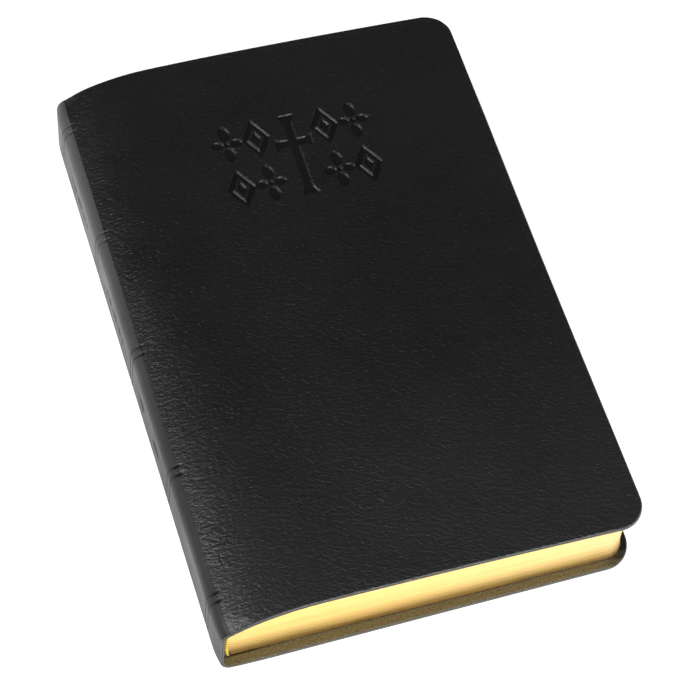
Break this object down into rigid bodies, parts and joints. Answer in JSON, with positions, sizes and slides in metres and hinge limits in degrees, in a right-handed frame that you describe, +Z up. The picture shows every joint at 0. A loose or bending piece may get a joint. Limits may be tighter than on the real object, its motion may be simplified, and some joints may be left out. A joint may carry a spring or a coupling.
{
  "type": "bible",
  "caption": "Limp leather-bound bible with gilt page edges, a front cover that opens and a text block that opens in the middle.",
  "frame": {"origin": "middle of the outer face of the back cover, on which the book lies", "axes": "+X from the spine to the fore-edge, +Y from the tail to the head, +Z up through the closed book to the front cover"},
  "size_m": [0.146, 0.216, 0.033],
  "materials": {
    "cover_leather": "satin, fine crinkled grain",
    "spine_leather": "satin, smoothed grain",
    "board": "matte",
    "spine_inlay": "matte",
    "spine_lining": "open cotton weave with glue",
    "sewn_band": "two-colour thread",
    "endpaper": "matte",
    "text_paper": "thin page paper with gilt edges"
  },
  "bodies": {
    "lower_text": {"back_leather": "cover_leather", "back_board": "board", "back_pastedown": "endpaper", "back_flyleaf": "endpaper", "section_01": "text_paper", "section_02": "text_paper", "section_03": "text_paper", "section_04": "text_paper", "section_05": "text_paper", "section_06": "text_paper", "section_07": "text_paper", "section_08": "text_paper", "section_09": "text_paper", "section_10": "text_paper", "spine_inlay_lower": "spine_inlay", "spine_lining_lower": "spine_lining", "tail_band_lower": "sewn_band", "head_band_lower": "sewn_band"},
    "upper_text": {"section_11": "text_paper", "section_12": "text_paper", "section_13": "text_paper", "section_14": "text_paper", "section_15": "text_paper", "section_16": "text_paper", "section_17": "text_paper", "section_18": "text_paper", "section_19": "text_paper", "section_20": "text_paper", "spine_leather": "spine_leather", "spine_inlay_upper": "spine_inlay", "spine_lining_upper": "spine_lining", "tail_band_upper": "sewn_band", "head_band_upper": "sewn_band"},
    "front_cover": {"front_leather": "cover_leather", "front_board": "board", "front_pastedown": "endpaper"},
    "front_flyleaf_sheet": {"front_flyleaf": "endpaper"},
    "presentation_leaf_sheet": {"presentation_leaf": "text_paper"},
    "title_leaf_sheet": {"title_leaf": "text_paper"},
    "middle_leaf_1_sheets": {"middle_leaf_1": "text_paper"},
    "middle_leaf_2_sheets": {"middle_leaf_2": "text_paper"},
    "middle_leaf_3_sheets": {"middle_leaf_3": "text_paper"},
    "middle_leaf_4_sheets": {"middle_leaf_4": "text_paper"},
    "middle_leaf_5_sheets": {"middle_leaf_5": "text_paper"},
    "middle_leaf_6_sheets": {"middle_leaf_6": "text_paper"}
  },
  "joints": [
    {"name": "text_opening", "type": "hinge", "parent": "lower_text", "child": "upper_text", "pos_m": [-0.073, 0, 0.016], "axis": [0, 1, 0], "range_deg": [-170, 0]},
    {"name": "front_cover_hinge", "type": "hinge", "parent": "upper_text", "child": "front_cover", "pos_m": [-0.059, 0, 0.02989], "axis": [0, -1, 0], "range_deg": [0, 165]},
    {"name": "front_flyleaf_turn", "type": "hinge", "parent": "upper_text", "child": "front_flyleaf_sheet", "pos_m": [-0.059, 0, 0.02989], "axis": [0, -1, 0], "range_deg": [0, 123.75]},
    {"name": "presentation_leaf_turn", "type": "hinge", "parent": "upper_text", "child": "presentation_leaf_sheet", "pos_m": [-0.059, 0, 0.02989], "axis": [0, -1, 0], "range_deg": [0, 82.5]},
    {"name": "title_leaf_turn", "type": "hinge", "parent": "upper_text", "child": "title_leaf_sheet", "pos_m": [-0.059, 0, 0.02989], "axis": [0, -1, 0], "range_deg": [0, 41.25]},
    {"name": "middle_leaf_1_turn", "type": "hinge", "parent": "lower_text", "child": "middle_leaf_1_sheets", "pos_m": [-0.073, 0, 0.016], "axis": [0, 1, 0], "range_deg": [-24.3, 0]},
    {"name": "middle_leaf_2_turn", "type": "hinge", "parent": "lower_text", "child": "middle_leaf_2_sheets", "pos_m": [-0.073, 0, 0.016], "axis": [0, 1, 0], "range_deg": [-48.57, 0]},
    {"name": "middle_leaf_3_turn", "type": "hinge", "parent": "lower_text", "child": "middle_leaf_3_sheets", "pos_m": [-0.073, 0, 0.016], "axis": [0, 1, 0], "range_deg": [-72.87, 0]},
    {"name": "middle_leaf_4_turn", "type": "hinge", "parent": "lower_text", "child": "middle_leaf_4_sheets", "pos_m": [-0.073, 0, 0.016], "axis": [0, 1, 0], "range_deg": [-97.14, 0]},
    {"name": "middle_leaf_5_turn", "type": "hinge", "parent": "lower_text", "child": "middle_leaf_5_sheets", "pos_m": [-0.073, 0, 0.016], "axis": [0, 1, 0], "range_deg": [-121.44, 0]},
    {"name": "middle_leaf_6_turn", "type": "hinge", "parent": "lower_text", "child": "middle_leaf_6_sheets", "pos_m": [-0.073, 0, 0.016], "axis": [0, 1, 0], "range_deg": [-145.71, 0]}
  ],
  "couplings": [
    {"joint": "front_flyleaf_turn", "follows": "front_cover_hinge", "ratio": 0.75},
    {"joint": "presentation_leaf_turn", "follows": "front_cover_hinge", "ratio": 0.5},
    {"joint": "title_leaf_turn", "follows": "front_cover_hinge", "ratio": 0.25},
    {"joint": "middle_leaf_1_turn", "follows": "text_opening", "ratio": 0.1429},
    {"joint": "middle_leaf_2_turn", "follows": "text_opening", "ratio": 0.2857},
    {"joint": "middle_leaf_3_turn", "follows": "text_opening", "ratio": 0.4286},
    {"joint": "middle_leaf_4_turn", "follows": "text_opening", "ratio": 0.5714},
    {"joint": "middle_leaf_5_turn", "follows": "text_opening", "ratio": 0.7143},
    {"joint": "middle_leaf_6_turn", "follows": "text_opening", "ratio": 0.8571}
  ]
}
